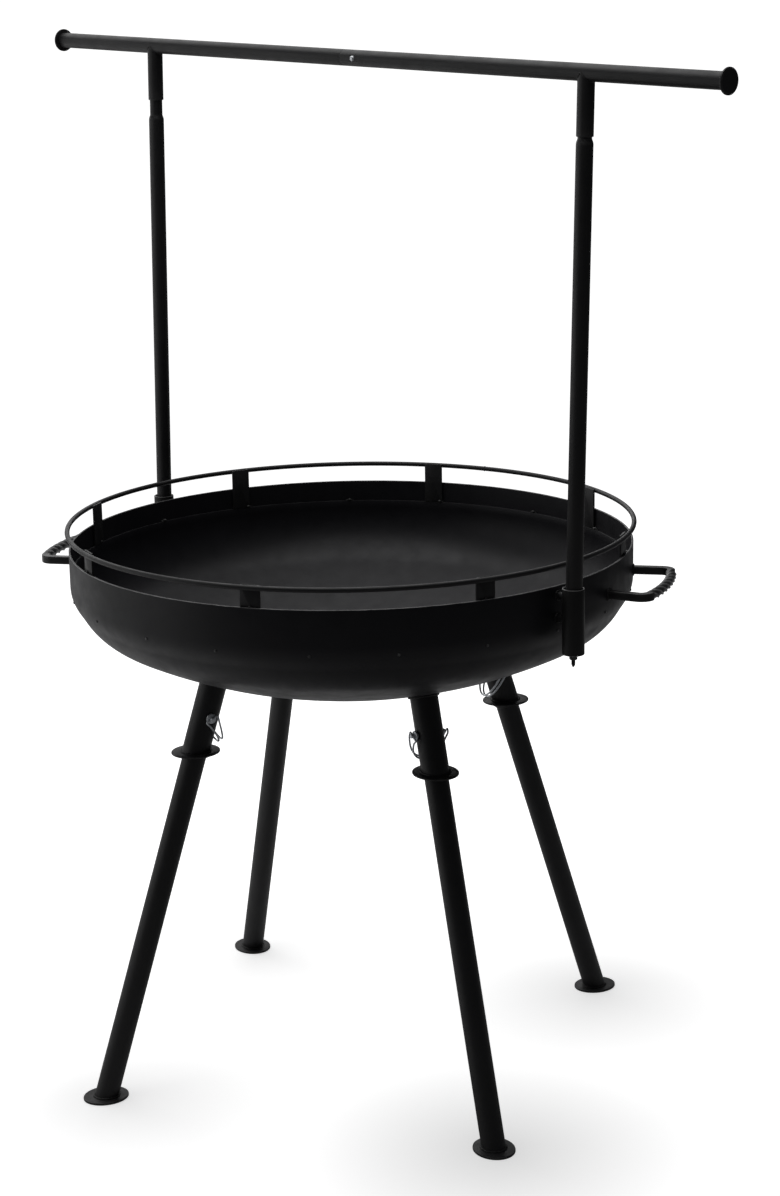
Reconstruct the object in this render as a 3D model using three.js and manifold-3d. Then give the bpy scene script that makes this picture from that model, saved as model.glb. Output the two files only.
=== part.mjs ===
// Open-fire bowl on four splayed, pinned legs, with two posts that carry a crossbar over the fire.
// Millimetres, +Z up, origin on the floor under the middle of the crossbar, +X along the crossbar.

import * as THREE from 'three';
import { mergeVertices } from 'three/addons/utils/BufferGeometryUtils.js';
import Module from 'manifold-3d';

const wasm = await Module();
wasm.setup();

const GAP = 0.3; // clearance between pieces that touch or are welded together
const degrees = THREE.MathUtils.degToRad;

// Bowl: an upright band with a dished bottom set inside it.
const RIM_Z = 882;
const BAND = { outer: 457.2, inner: 454.2, height: 70 };
const DISH = { outer: BAND.inner - GAP, thick: 3, top: -35.4, knuckleTop: -47.5, knuckle: 106, crown: 862 };
const BOWL_SIDES = 64;

// Rail ring over the rim, on straps welded inside it.
const RAIL = { radius: 458, rod: 4, z: 30.5 };
const TAB = { width: 31.75, thick: 3, face: 452.8, bottom: -35, top: 33.5, corner: 2.5, count: 8 };
const FIRST_TAB_ANGLE = degrees(-16.8); // every other strap stands over a leg
const TAB_PITCH = (2 * Math.PI) / TAB.count;

// Handles: a square bar, bent to two arms that spread and a bowed, twisted grip, halfway between two legs.
const HANDLE = { side: 12.7, chamfer: 1.2, z: -44.5, start: 450.4, spread: degrees(8), bend: 16 };
const GRIP = { middle: 522, half: 76, bow: degrees(13), turns: 2 };
const HANDLE_ANGLES = {
  handle_right: FIRST_TAB_ANGLE + TAB_PITCH,
  handle_left: FIRST_TAB_ANGLE + 5 * TAB_PITCH,
};

// Legs: tubes that stand in sleeves under the dish, each held by one pin.
const LEG = { outer: 19.05, inner: 17.05, footRadius: 466, splay: degrees(17.7), top: 655 };
const FOOT = { radius: 37.5, narrow: 0.86, thick: 4, chamfer: 1.2 }; // oval, long way outward
const SLEEVE = { outer: 22.2, inner: 19.75, top: 706, collarZ: 564.5, below: 3 };
const COLLAR = { radius: 40, narrow: 0.9, thick: 3 };
const LEG_COUNT = 4;

// Leg pins: shank and head on one axis, with a wire bail hinged in the head's cross hole.
const PIN = { z: 623, shank: 4.75, tip: -28.5, head: 7.25, headFrom: 24, headTo: 33, hinge: 29, hole: 5.1 };
const BAIL = { wire: 1.6, reach: 50, half: 30, headSide: 10.3, side: 3.5, hang: degrees(44), loop: 30.9 };

// Goalpost: two posts in sockets beside the band, and a crossbar whose stubs drop over the posts.
const POST_X = 487.9;
const SOCKET = { outer: 17, inner: 14.5, top: 1, bottom: -101 };
const PLUG = { radius: SOCKET.inner - GAP, thick: 5, hole: 3.6 };
const STUD = { radius: 3.25, top: -92, bottom: -121, taper: 4 };
const NUT = { flat: 5.5, thick: 8, hole: STUD.radius + GAP };
const SPACER = { radius: 6, heights: [-15, -50] };
const POST = { outer: 12.7, inner: 11.1, spigot: 10.5, spigotInner: 8.9, spigotLength: 74, taper: 6 };
const LEAN = degrees(1.3); // the crossbar's far stub is not quite seated, so bar and posts lean together
const SIDE_LEAN = degrees(0.35); // play in the sockets, towards +Y
const PIVOT_Z = RIM_Z - 50;
const BAR_RISE = 815.5; // crossbar's axis over the pivot
const BAR = { outer: 12.7, inner: 11.1, half: 742.5, seam: -15 };
const BAR_SPIGOT = { outer: 10.8, inner: 9.2, end: 60 };
const STUB = { outer: 12.7, inner: 10.8, length: 89.5, shoulder: 3 };
const END_DISC = { radius: 19, thick: 3, chamfer: 0.8 };
const BUTTON = { x: 15, radius: 4.2, top: 15.4, bottom: 5.5, hole: 4.6, travel: 3 };
const BUTTON_SPRING = { thick: 0.8, width: 6, length: 30, far: 8.4 };

// Heights over the pivot: posts stand on the socket plugs, and the near stub rests on its post's shoulder.
const PIVOT_FLOOR = RIM_Z + SOCKET.bottom + PLUG.thick + 2 * GAP - PIVOT_Z;
const STUB_END = BAR_RISE - STUB.length;
const FAR_DROP = 2 * POST_X * Math.tan(LEAN); // how far the far post's shoulder sits below its stub

// The box is centred on the crossbar, which leans away from the bowl's own axis.
const BOWL_X = -BAR_RISE * Math.sin(LEAN);

const finish = (name, color, roughness, metalness) => {
  const material = new THREE.MeshStandardMaterial({ color, roughness, metalness });
  material.name = name;
  return material;
};
const BOWL_COAT = finish('bowl_coat', 0x1b1b1d, 0.42, 0.1);
const FRAME_COAT = finish('frame_coat', 0x222224, 0.5, 0.1);
const ZINC = finish('zinc', 0xc9d0d2, 0.25, 1);
const SPRING_STEEL = finish('spring_steel', 0x8c9094, 0.35, 1);

// ---------------------------------------------------------------- solids

/** Turns a closed geometry into a solid, with merged corners and its faces pointing out. */
function toSolid(geometry) {
  const bare = geometry.clone();
  for (const name of Object.keys(bare.attributes)) {
    if (name !== 'position') bare.deleteAttribute(name);
  }
  const merged = mergeVertices(bare, 1e-4);
  const points = merged.attributes.position.array;
  const corners = merged.index.array;
  const triangles = [];
  let volume = 0;
  const [a, b, c] = [new THREE.Vector3(), new THREE.Vector3(), new THREE.Vector3()];
  for (let i = 0; i < corners.length; i += 3) {
    const [p, q, r] = [corners[i], corners[i + 1], corners[i + 2]];
    if (p === q || q === r || r === p) continue;
    triangles.push([p, q, r]);
    volume += a.fromArray(points, 3 * p).dot(b.fromArray(points, 3 * q).cross(c.fromArray(points, 3 * r)));
  }
  const outward = triangles.map(([p, q, r]) => (volume > 0 ? [p, q, r] : [p, r, q]));
  return new wasm.Manifold(new wasm.Mesh({
    numProp: 3,
    vertProperties: Float32Array.from(points),
    triVerts: Uint32Array.from(outward.flat()),
  }));
}

/** Turns a solid back into a geometry. */
function toGeometry(solid) {
  const { vertProperties, triVerts } = solid.getMesh();
  const geometry = new THREE.BufferGeometry();
  geometry.setAttribute('position', new THREE.BufferAttribute(vertProperties, 3));
  geometry.setIndex(new THREE.BufferAttribute(triVerts, 1));
  geometry.computeVertexNormals();
  return geometry;
}

/** Revolves [radius, height] points about Z. The outline starts and ends on the axis, or is closed. */
function revolve(outline, sides) {
  const points = outline.map(([radius, height]) => new THREE.Vector2(radius, height));
  return new THREE.LatheGeometry(points, sides).rotateX(Math.PI / 2);
}

const ring = (outer, inner, low, high, sides) =>
  revolve([[inner, low], [outer, low], [outer, high], [inner, high], [inner, low]], sides);

const rod = (radius, low, high, sides) =>
  revolve([[0, low], [radius, low], [radius, high], [0, high]], sides);

/** A disc on Z with both of its outer edges chamfered. */
const disc = (radius, low, high, chamfer, sides) =>
  revolve([
    [0, low], [radius - chamfer, low], [radius, low + chamfer],
    [radius, high - chamfer], [radius - chamfer, high], [0, high],
  ], sides);

/** Sweeps a round section along a path. */
function wire(path, radius, steps, sides) {
  const section = new THREE.Shape();
  for (let i = 0; i < sides; i += 1) {
    const turn = (2 * Math.PI * i) / sides;
    const [x, y] = [radius * Math.cos(turn), radius * Math.sin(turn)];
    if (i === 0) section.moveTo(x, y);
    else section.lineTo(x, y);
  }
  return new THREE.ExtrudeGeometry(section, { steps, extrudePath: path, bevelEnabled: false });
}

/** Moves a geometry so that its Z axis lies along the given direction, and places it. */
function aimed(geometry, direction, position) {
  const turn = new THREE.Quaternion().setFromUnitVectors(new THREE.Vector3(0, 0, 1), direction);
  return geometry.applyQuaternion(turn).translate(position.x, position.y, position.z);
}

function cut(body, ...tools) {
  return tools.reduce((left, tool) => left.subtract(toSolid(tool)), toSolid(body));
}

function piece(name, solid, material) {
  const mesh = new THREE.Mesh(toGeometry(solid), material);
  mesh.name = name;
  return mesh;
}

const vector = (x, y, z) => new THREE.Vector3(x, y, z);
const X = vector(1, 0, 0);
const Y = vector(0, 1, 0);
const CENTRE = vector(0, 0, 0);

// ---------------------------------------------------------------- bowl

/** One face of the dish as [radius, height] points, from its middle up to its upright edge. */
function dishFace(offset) {
  const kneeRadius = DISH.outer - DISH.knuckle;
  const centreHeight = Math.sqrt((DISH.crown - DISH.knuckle) ** 2 - kneeRadius ** 2);
  const crownCentre = RIM_Z + DISH.knuckleTop + centreHeight;
  const join = Math.atan2(centreHeight, kneeRadius);
  const points = [];
  const crownSteps = 6;
  for (let i = 0; i <= crownSteps; i += 1) {
    const turn = -Math.PI / 2 + ((Math.PI / 2 - join) * i) / crownSteps;
    const radius = DISH.crown + offset;
    points.push([i === 0 ? 0 : radius * Math.cos(turn), crownCentre + radius * Math.sin(turn)]);
  }
  const knuckleSteps = 4;
  for (let i = 1; i <= knuckleSteps; i += 1) {
    const turn = -join + (join * i) / knuckleSteps;
    const radius = DISH.knuckle + offset;
    points.push([kneeRadius + radius * Math.cos(turn), RIM_Z + DISH.knuckleTop + radius * Math.sin(turn)]);
  }
  points.push([DISH.outer + offset, RIM_Z + DISH.top]);
  return points;
}

function bowl() {
  const group = new THREE.Group();
  const band = ring(BAND.outer, BAND.inner, RIM_Z - BAND.height, RIM_Z, BOWL_SIDES);
  group.add(piece('bowl_band', toSolid(band), BOWL_COAT));
  const dish = revolve([...dishFace(0), ...dishFace(-DISH.thick).reverse()], BOWL_SIDES);
  group.add(piece('bowl_dish', toSolid(dish), BOWL_COAT));
  return group;
}

function rail() {
  const group = new THREE.Group();
  const rodSides = 6;
  const section = [];
  for (let i = 0; i <= rodSides; i += 1) {
    const turn = (2 * Math.PI * (i % rodSides)) / rodSides;
    section.push([RAIL.radius + RAIL.rod * Math.cos(turn), RIM_Z + RAIL.z + RAIL.rod * Math.sin(turn)]);
  }
  group.add(piece('rail_ring', toSolid(revolve(section, BOWL_SIDES)), FRAME_COAT));

  const half = TAB.width / 2;
  const [low, high, corner] = [RIM_Z + TAB.bottom, RIM_Z + TAB.top, TAB.corner];
  const face = new THREE.Shape([
    new THREE.Vector2(-half, low), new THREE.Vector2(half, low),
    new THREE.Vector2(half, high - corner), new THREE.Vector2(half - corner, high),
    new THREE.Vector2(corner - half, high), new THREE.Vector2(-half, high - corner),
  ]);
  for (let i = 0; i < TAB.count; i += 1) {
    // The outline's X runs round the band and its Y upward; its depth runs outward.
    const strap = new THREE.ExtrudeGeometry(face, { depth: TAB.thick, bevelEnabled: false });
    strap.applyMatrix4(new THREE.Matrix4().makeBasis(Y, vector(0, 0, 1), X));
    strap.translate(TAB.face - TAB.thick, 0, 0).rotateZ(FIRST_TAB_ANGLE + i * TAB_PITCH);
    group.add(piece(`rail_tab_${i + 1}`, toSolid(strap), FRAME_COAT));
  }
  return group;
}

/** Section of the handle's bar, square with chamfered corners, turned by an angle. */
function barSection(turn) {
  const half = HANDLE.side / 2;
  const flat = half - HANDLE.chamfer;
  const corners = [
    [half, -flat], [half, flat], [flat, half], [-flat, half],
    [-half, flat], [-half, -flat], [-flat, -half], [flat, -half],
  ];
  return corners.map(([x, y]) => [
    x * Math.cos(turn) - y * Math.sin(turn),
    x * Math.sin(turn) + y * Math.cos(turn),
  ]);
}

/** Stations along a handle's bar: [x, y, heading, twist] in its own plane, from one end to the other. */
function handleStations() {
  const { start, spread, bend } = HANDLE;
  const fullTwist = 2 * Math.PI * GRIP.turns;
  const turned = Math.PI / 2 - GRIP.bow; // heading where the bend ends and the grip begins
  const gripRadius = GRIP.half / Math.sin(GRIP.bow);
  const gripX = GRIP.middle - gripRadius * (1 - Math.cos(GRIP.bow));
  const bendX = gripX - bend * (Math.sin(turned) + Math.sin(spread));
  const bendY = -GRIP.half - bend * (Math.cos(spread) - Math.cos(turned));
  const bendSteps = 4;
  const gripSteps = 48;
  const stations = [[start, bendY + (bendX - start) * Math.tan(spread), -spread, 0]];
  for (let i = 0; i <= bendSteps; i += 1) {
    const heading = -spread + ((turned + spread) * i) / bendSteps;
    const x = bendX + bend * (Math.sin(heading) + Math.sin(spread));
    const y = bendY + bend * (Math.cos(spread) - Math.cos(heading));
    stations.push([x, y, heading, 0]);
  }
  for (let i = 1; i <= gripSteps / 2; i += 1) {
    const heading = turned + (2 * GRIP.bow * i) / gripSteps;
    const x = GRIP.middle - gripRadius * (1 - Math.sin(heading));
    stations.push([x, -gripRadius * Math.cos(heading), heading, (fullTwist * i) / gripSteps]);
  }
  const mirrored = ([x, y, heading, twist]) => [x, -y, Math.PI - heading, fullTwist - twist];
  return [...stations, ...stations.slice(0, -1).reverse().map(mirrored)];
}

function handle(name, angle) {
  const stations = handleStations();
  const points = [];
  for (const [x, y, heading, twist] of stations) {
    for (const [across, up] of barSection(twist)) {
      points.push(x - across * Math.sin(heading), y + across * Math.cos(heading), RIM_Z + HANDLE.z + up);
    }
  }
  const sides = barSection(0).length;
  const index = [];
  for (let ring = 0; ring < stations.length - 1; ring += 1) {
    for (let k = 0; k < sides; k += 1) {
      const [a, b] = [ring * sides + k, ring * sides + ((k + 1) % sides)];
      index.push(a, b, b + sides, a, b + sides, a + sides);
    }
  }
  const last = (stations.length - 1) * sides;
  for (let k = 1; k < sides - 1; k += 1) {
    index.push(0, k + 1, k, last, last + k, last + k + 1);
  }
  const bar = new THREE.BufferGeometry();
  bar.setAttribute('position', new THREE.Float32BufferAttribute(points, 3));
  bar.setIndex(index);
  const mesh = piece(name, toSolid(bar), FRAME_COAT);
  mesh.rotation.z = angle;
  return mesh;
}

// ---------------------------------------------------------------- legs

const LEG_SIDES = 24;
const LEG_AXIS = vector(-Math.sin(LEG.splay), 0, Math.cos(LEG.splay));

/** The point of a leg's axis at a height, with the leg standing in the XZ plane. */
const legPoint = (z) => vector(LEG.footRadius - z * Math.tan(LEG.splay), 0, z);

/** A length of tube about a leg's axis, cut square at both heights. */
function legTube(outer, inner, low, high) {
  const length = (high - low) / Math.cos(LEG.splay);
  return aimed(ring(outer, inner, 0, length, LEG_SIDES), LEG_AXIS, legPoint(low));
}

/** A round cutter across a leg for its pin. */
const pinCutter = () => {
  const reach = 2 * SLEEVE.outer;
  return aimed(rod(PIN.hole, -reach, reach, 20), Y, legPoint(PIN.z));
};

function leg(number) {
  const group = new THREE.Group();
  const foot = disc(FOOT.radius, 0, FOOT.thick, FOOT.chamfer, 36).scale(1, FOOT.narrow, 1);
  group.add(piece(`foot_plate_${number}`, toSolid(foot.translate(LEG.footRadius, 0, 0)), FRAME_COAT));

  const floor = new THREE.BoxGeometry(200, 200, 100).translate(LEG.footRadius, 0, FOOT.thick + GAP - 50);
  const tube = cut(legTube(LEG.outer, LEG.inner, -20, LEG.top), floor, pinCutter());
  group.add(piece(`leg_tube_${number}`, tube, FRAME_COAT));

  const bottom = SLEEVE.collarZ - COLLAR.thick / 2 - SLEEVE.below;
  const dishFront = revolve([...dishFace(GAP), [0, RIM_Z + DISH.top]], BOWL_SIDES);
  const sleeve = cut(legTube(SLEEVE.outer, SLEEVE.inner, bottom, SLEEVE.top), dishFront, pinCutter());
  group.add(piece(`leg_sleeve_${number}`, sleeve, FRAME_COAT));

  const collarCentre = legPoint(SLEEVE.collarZ);
  const plate = disc(COLLAR.radius, -COLLAR.thick / 2, COLLAR.thick / 2, FOOT.chamfer, 36);
  plate.scale(1, COLLAR.narrow, 1).translate(collarCentre.x, 0, collarCentre.z);
  const sleeveHole = aimed(rod(SLEEVE.outer + GAP, -40, 40, LEG_SIDES), LEG_AXIS, collarCentre);
  group.add(piece(`leg_collar_${number}`, cut(plate, sleeveHole), FRAME_COAT));
  return group;
}

/** The frame of a leg's pin: X towards its head, Z the way its bail hangs. */
function pinFrame(side) {
  const hang = BAIL.hang - LEG.splay;
  const toHead = vector(0, side, 0);
  const down = vector(-Math.sin(hang), 0, -Math.cos(hang));
  const across = down.clone().cross(toHead);
  return new THREE.Matrix4().makeBasis(toHead, across, down).setPosition(legPoint(PIN.z));
}

/** Pin along X, with a grooved, pointed tip and a domed head that has a cross hole for the bail. */
function pinSolid() {
  const { shank, tip, head, headFrom, headTo } = PIN;
  const body = revolve([
    [0, tip], [shank - 2, tip], [shank, tip + 2], [shank, headFrom],
    [head - 0.8, headFrom], [head, headFrom + 0.8], [head, headTo - 2.5],
    [head - 1.5, headTo - 0.6], [head - 4, headTo], [0, headTo],
  ], 16);
  const crossHole = rod(BAIL.wire + GAP, -2 * head, 2 * head, 10);
  return cut(aimed(body, X, CENTRE), aimed(crossHole, Y, vector(PIN.hinge, 0, 0)));
}

/** Bail: from inside one side of the head, round the sleeve, across the tip, and back to the other side. */
function bailSolid() {
  const { reach, half, headSide, side, loop } = BAIL;
  const strand = [
    vector(PIN.hinge, 3.2, 0),
    vector(PIN.hinge, headSide - 1.5, 0),
    vector(PIN.hinge, headSide, 2.4),
  ];
  const narrowing = degrees(70);
  for (let turn = degrees(12); turn <= degrees(168); turn += degrees(19.5)) {
    const wide = (headSide - side) * Math.max(0, 1 - turn / narrowing) ** 2;
    strand.push(vector(half * Math.cos(turn), side + wide, reach * Math.sin(turn)));
  }
  strand.push(vector(-loop, side, 2));
  const mirrored = strand.map((point) => vector(point.x, -point.y, point.z)).reverse();
  const path = new THREE.CatmullRomCurve3([...strand, vector(-loop, 0, -PIN.shank / 2 - 1), ...mirrored]);
  return toSolid(wire(path, BAIL.wire, 50, 5));
}

function pin(number) {
  const group = new THREE.Group();
  const side = number % 2 === 1 ? -1 : 1; // the heads of legs 1 and 4 face each other
  group.applyMatrix4(pinFrame(side));
  group.add(piece(`leg_pin_${number}`, pinSolid(), ZINC));
  group.add(piece(`pin_bail_${number}`, bailSolid(), ZINC));
  return group;
}

// ---------------------------------------------------------------- sockets, posts and crossbar

/** Socket with its spacers, bottom plug, stud and nut, on the +X side of the band. */
function socket(end) {
  const group = new THREE.Group();
  const level = (z) => RIM_Z + z;
  const add = (name, solid) => group.add(piece(`${name}_${end}`, solid, FRAME_COAT));

  const tube = ring(SOCKET.outer, SOCKET.inner, level(SOCKET.bottom), level(SOCKET.top), 32);
  add('post_socket', toSolid(tube.translate(POST_X, 0, 0)));

  const plug = ring(PLUG.radius, PLUG.hole, level(SOCKET.bottom), level(SOCKET.bottom) + PLUG.thick, 24);
  add('socket_plug', toSolid(plug.translate(POST_X, 0, 0)));

  const { radius, top, bottom, taper } = STUD;
  const stud = revolve([
    [0, level(bottom)], [radius - 1.5, level(bottom)], [radius, level(bottom + taper)],
    [radius, level(top)], [0, level(top)],
  ], 16);
  add('socket_stud', toSolid(stud.translate(POST_X, 0, 0)));

  const nutTop = level(SOCKET.bottom) - GAP;
  const hexagon = rod(NUT.flat / Math.cos(Math.PI / 6), nutTop - NUT.thick, nutTop, 6);
  const bore = rod(NUT.hole, nutTop - 2 * NUT.thick, nutTop + NUT.thick, 16);
  add('socket_nut', cut(hexagon.translate(POST_X, 0, 0), bore.translate(POST_X, 0, 0)));

  SPACER.heights.forEach((z, i) => {
    const length = POST_X - SOCKET.outer - BAND.outer - 2 * GAP;
    const bar = aimed(rod(SPACER.radius, 0, length, 16), X, vector(BAND.outer + GAP, 0, level(z)));
    add(`socket_spacer_${i + 1}`, toSolid(bar));
  });
  return group;
}

/** A post in the leaning frame: upright, with a narrower spigot over its shoulder. */
function post(end, x, shoulder) {
  const foot = PIVOT_FLOOR + x * Math.tan(LEAN);
  const { outer, inner, spigot, spigotInner, spigotLength, taper } = POST;
  const top = shoulder + spigotLength;
  const tube = revolve([
    [inner, foot], [outer, foot], [outer, shoulder - taper], [spigot, shoulder],
    [spigot, top - 2], [spigot - 1, top], [spigotInner, top],
    [spigotInner, shoulder], [inner, shoulder - taper], [inner, foot],
  ], LEG_SIDES);
  return piece(`post_${end}`, toSolid(tube.translate(x, 0, 0)), FRAME_COAT);
}

/** A tube along X. */
const barTube = (outer, inner, from, to) => aimed(ring(outer, inner, from, to, LEG_SIDES), X, CENTRE);

const buttonHole = () => aimed(rod(BUTTON.hole, 0, 20, 16), Y.clone().negate(), vector(BUTTON.x, 0, 0));

function nearHalf() {
  const { outer, inner, seam, half } = BAR;
  return cut(barTube(outer, inner, seam, half), buttonHole());
}

function farHalf() {
  const { outer, inner, seam, half } = BAR;
  const spigot = BAR_SPIGOT;
  const shoulder = seam - GAP;
  const tube = revolve([
    [inner, -half], [outer, -half], [outer, shoulder - 3], [spigot.outer, shoulder],
    [spigot.outer, spigot.end], [spigot.inner, spigot.end], [spigot.inner, shoulder],
    [inner, shoulder - 3], [inner, -half],
  ], LEG_SIDES);
  return cut(aimed(tube, X, CENTRE), buttonHole());
}

function stub(x) {
  const tube = ring(STUB.outer, STUB.inner, -STUB.length, 0, LEG_SIDES).translate(x, 0, 0);
  const barRoom = aimed(rod(BAR.outer + GAP, -50, 50, LEG_SIDES), X, vector(x, 0, 0));
  return cut(tube, barRoom);
}

function endDisc(side) {
  const { radius, thick, chamfer } = END_DISC;
  const plate = disc(radius, GAP, GAP + thick, chamfer, 32);
  return toSolid(aimed(plate, vector(side, 0, 0), vector(side * BAR.half, 0, 0)));
}

/** Domed button that stands out of the crossbar's side. */
function button() {
  const { radius, top, bottom } = BUTTON;
  const body = revolve([
    [0, bottom], [radius, bottom], [radius, top - 1.8],
    [radius - 0.9, top - 0.6], [radius - 2.2, top], [0, top],
  ], 16);
  return toSolid(aimed(body, Y.clone().negate(), vector(BUTTON.x, 0, 0)));
}

/** Leaf spring behind the button: two leaves joined by a bend, clear of the pressed button. */
function buttonSpring() {
  const { thick, width, length, far } = BUTTON_SPRING;
  const near = BUTTON.bottom - BUTTON.travel - GAP;
  const from = BUTTON.x - BUTTON.radius;
  const outer = (far + near) / 2;
  const middle = (far - near) / 2;
  const shape = new THREE.Shape();
  shape.moveTo(from, -near);
  shape.lineTo(from + length, -near);
  shape.absarc(from + length, middle, outer, -Math.PI / 2, Math.PI / 2, false);
  shape.lineTo(from, far);
  shape.lineTo(from, far - thick);
  shape.lineTo(from + length, far - thick);
  shape.absarc(from + length, middle, outer - thick, Math.PI / 2, -Math.PI / 2, true);
  shape.lineTo(from, thick - near);
  const leaf = new THREE.ExtrudeGeometry(shape, { depth: width, bevelEnabled: false, curveSegments: 6 });
  return toSolid(leaf.translate(0, 0, -width / 2));
}

function goalpost() {
  const frame = new THREE.Group();
  frame.position.set(0, 0, PIVOT_Z);
  frame.rotation.set(-SIDE_LEAN, LEAN, 0);
  frame.add(post('near', POST_X, STUB_END - STUB.shoulder));
  frame.add(post('far', -POST_X, STUB_END - STUB.shoulder - FAR_DROP));

  const crossbar = new THREE.Group();
  crossbar.position.z = BAR_RISE;
  crossbar.add(piece('crossbar_near_half', nearHalf(), FRAME_COAT));
  crossbar.add(piece('crossbar_far_half', farHalf(), FRAME_COAT));
  crossbar.add(piece('crossbar_stub_near', stub(POST_X), FRAME_COAT));
  crossbar.add(piece('crossbar_stub_far', stub(-POST_X), FRAME_COAT));
  crossbar.add(piece('end_disc_near', endDisc(1), FRAME_COAT));
  crossbar.add(piece('end_disc_far', endDisc(-1), FRAME_COAT));
  crossbar.add(piece('snap_button', button(), ZINC));
  crossbar.add(piece('button_spring', buttonSpring(), SPRING_STEEL));
  frame.add(crossbar);
  return frame;
}

// ---------------------------------------------------------------- assembly

const group = new THREE.Group();
group.position.x = BOWL_X;
group.add(bowl());
group.add(rail());
for (const [name, angle] of Object.entries(HANDLE_ANGLES)) group.add(handle(name, angle));
for (let number = 1; number <= LEG_COUNT; number += 1) {
  const station = new THREE.Group();
  station.rotation.z = FIRST_TAB_ANGLE + ((number - 1) * 2 * Math.PI) / LEG_COUNT;
  station.add(leg(number));
  station.add(pin(number));
  group.add(station);
}
const nearSocket = socket('near');
const farSocket = socket('far');
farSocket.rotation.z = Math.PI;
group.add(nearSocket, farSocket);
group.add(goalpost());

export default group;
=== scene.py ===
import math
import random

import bmesh
import bpy
from mathutils import Matrix, Vector, noise


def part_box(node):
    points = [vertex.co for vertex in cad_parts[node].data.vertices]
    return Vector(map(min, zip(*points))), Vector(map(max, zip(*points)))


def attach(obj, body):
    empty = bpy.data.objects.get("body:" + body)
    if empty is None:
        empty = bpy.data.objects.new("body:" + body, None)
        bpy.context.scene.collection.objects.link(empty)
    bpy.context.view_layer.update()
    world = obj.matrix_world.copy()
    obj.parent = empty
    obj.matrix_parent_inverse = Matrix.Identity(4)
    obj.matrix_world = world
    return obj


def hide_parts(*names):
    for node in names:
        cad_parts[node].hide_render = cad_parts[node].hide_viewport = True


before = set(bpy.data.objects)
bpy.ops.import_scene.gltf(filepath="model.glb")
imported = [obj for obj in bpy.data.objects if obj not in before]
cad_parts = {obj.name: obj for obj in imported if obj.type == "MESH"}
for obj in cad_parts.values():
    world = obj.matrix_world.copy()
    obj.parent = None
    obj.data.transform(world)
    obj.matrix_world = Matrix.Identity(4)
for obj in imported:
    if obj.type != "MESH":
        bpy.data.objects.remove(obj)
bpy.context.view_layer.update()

# Open-fire bowl on four splayed, pinned legs, with a crossbar on two posts.
# Lengths are millimetres unless a comment says metres; MM brings them into the frame's metres.
# Heights on the bowl are counted upwards from its rim, and heights on the legs from the floor.

MM = 0.001
UP = Vector((0, 0, 1))
random.seed(7)

# ------------------------ sizes shared with the CAD part

GAP = 0.3
bowl_lo, bowl_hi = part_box("bowl_band")
BOWL_X = 0.5 * (bowl_lo.x + bowl_hi.x) / MM
RIM_Z = bowl_hi.z / MM
BAND = dict(outer=457.2, inner=454.2, height=70.0)
DISH = dict(outer=453.9, thick=3.0, top=-35.4, knuckle_top=-47.5, knuckle=106.0, crown=862.0)
KNEE_RADIUS = DISH["outer"] - DISH["knuckle"]
CENTRE_HEIGHT = math.sqrt((DISH["crown"] - DISH["knuckle"]) ** 2 - KNEE_RADIUS ** 2)
CROWN_CENTRE_Z = RIM_Z + DISH["knuckle_top"] + CENTRE_HEIGHT
RAIL = dict(radius=458.0, rod=4.0, z=30.5)
TAB = dict(width=31.75, thick=3.0, face=452.8, bottom=-35.0, top=33.5, corner=2.5, count=8)
FIRST_TAB_ANGLE = math.radians(-16.8)
HANDLE = dict(side=12.7, corner=1.3, z=-44.5, start=450.4, spread=math.radians(8), bend=16.0)
GRIP = dict(middle=522.0, half=76.0, bow=math.radians(13), turns=2)
HANDLE_ANGLES = dict(handle_right=FIRST_TAB_ANGLE + math.radians(45),
                     handle_left=FIRST_TAB_ANGLE + math.radians(225))
LEG = dict(outer=19.05, inner=17.05, foot_radius=466.0, splay=math.radians(17.7), top=655.0)
FOOT = dict(radius=37.5, narrow=0.86, thick=4.0)
SLEEVE = dict(outer=22.2, inner=19.75, collar_z=564.5, below=3.0)
COLLAR = dict(radius=40.0, narrow=0.9, thick=3.0)
PIN = dict(z=623.0, shank=4.75, groove=0.7, tip=-28.5, head=8.2, neck=3.2, head_from=24.0, head_to=33.0,
           hinge=29.0, eye=1.6, hole=5.1)
BAIL = dict(wire=1.6, reach=50.0, half=30.0, head_side=10.3, side=3.5, hang=math.radians(44), loop=30.9)
POST_X = 487.9
SOCKET = dict(outer=17.0, inner=14.5, top=1.0, bottom=-101.0)
PLUG = dict(radius=14.2, thick=5.0, hole=3.6)
STUD = dict(radius=3.25, top=-92.0, bottom=-121.0, point=2.0, taper=4.0, pitch=1.25, thread=0.62)
NUT = dict(flat=5.5, thick=8.0, bore=3.55)
SPACER = dict(radius=6.0, heights=(-15.0, -50.0))
POST = dict(outer=12.7, inner=11.1, spigot=10.5, spigot_inner=8.9, spigot_length=74.0, taper=6.0)
LEAN = math.radians(1.3)
SIDE_LEAN = math.radians(0.35)
PIVOT_Z = RIM_Z - 50
BAR_RISE = 815.5
BAR = dict(outer=12.7, inner=11.1, half=742.5, seam=-15.0, spigot=10.8, spigot_inner=9.2, spigot_end=60.0)
STUB = dict(outer=12.7, inner=10.8, length=89.5, shoulder=3.0)
END_DISC = dict(radius=19.0, thick=3.0)
BUTTON = dict(x=15.0, radius=4.2, top=15.4, bottom=5.5, hole=4.6)

# ------------------------ details that only the look has

DISH_WAVE = dict(height=0.35, scale=0.009, fades_at=440)
GROUND_SEAM = dict(low=-98.0, high=-56.0, steps=20, proud=0.12, under=1.2)
BAND_SEAM = dict(turn=math.radians(118), half=3.4, squash=0.12, steps=30)
RAIL_JOINT = math.radians(106)

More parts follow.
